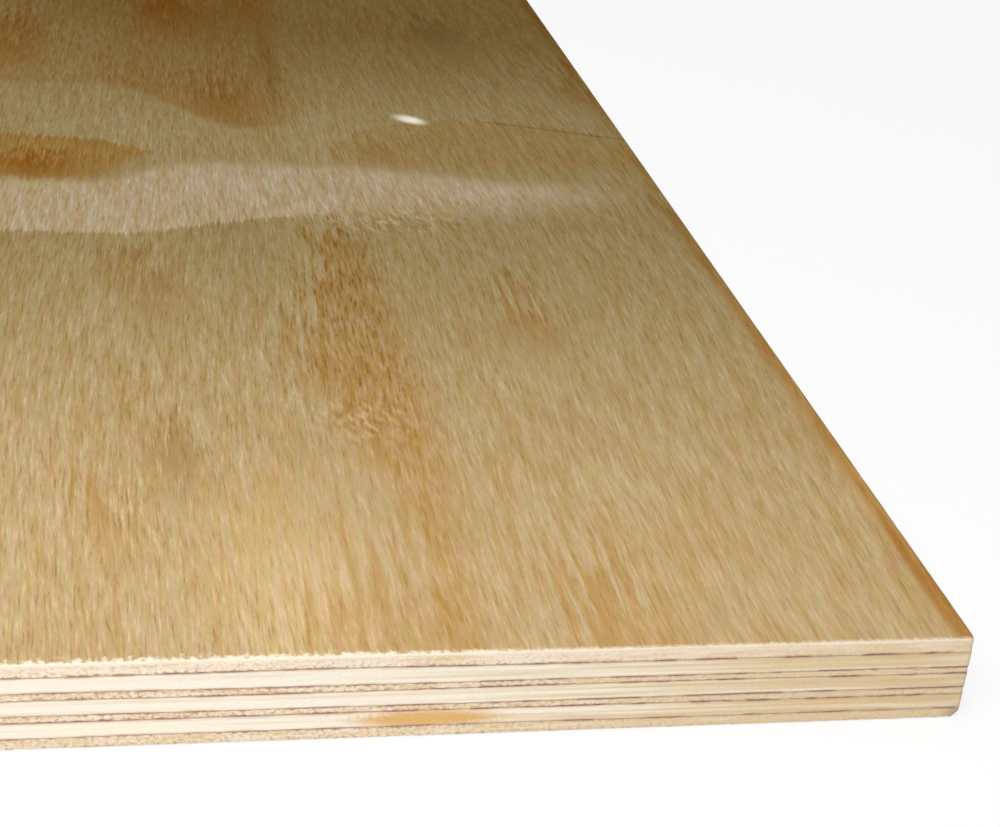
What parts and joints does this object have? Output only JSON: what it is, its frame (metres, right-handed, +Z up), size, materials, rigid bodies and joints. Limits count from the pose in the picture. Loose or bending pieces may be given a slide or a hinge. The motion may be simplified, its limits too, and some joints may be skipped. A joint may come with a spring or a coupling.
{
  "type": "plywood sheet",
  "caption": "Full sheet of softwood plywood, cross-laminated from rotary-peeled veneers, lying flat with its clear-coated face up.",
  "frame": {"origin": "centre of the sheet's underside, which rests on the floor", "axes": "+X across the sheet, +Y along its length and along the face grain, +Z up, out of the face"},
  "size_m": [1.22, 2.44, 0.018],
  "materials": {
    "face_veneer": "clear-coated rotary-peeled pine, satin",
    "crossband": "sawn raw pine",
    "inner_veneer": "sawn raw pine",
    "back_veneer": "sanded raw pine",
    "glue": "cured resin, sawn flush"
  },
  "bodies": {
    "root": {"face_veneer": "face_veneer", "upper_crossband": "crossband", "upper_inner_veneer": "inner_veneer", "centre_crossband": "crossband", "lower_inner_veneer": "inner_veneer", "lower_crossband": "crossband", "back_veneer": "back_veneer", "glue_line_1": "glue", "glue_line_2": "glue", "glue_line_3": "glue", "glue_line_4": "glue", "glue_line_5": "glue", "glue_line_6": "glue"}
  },
  "joints": []
}
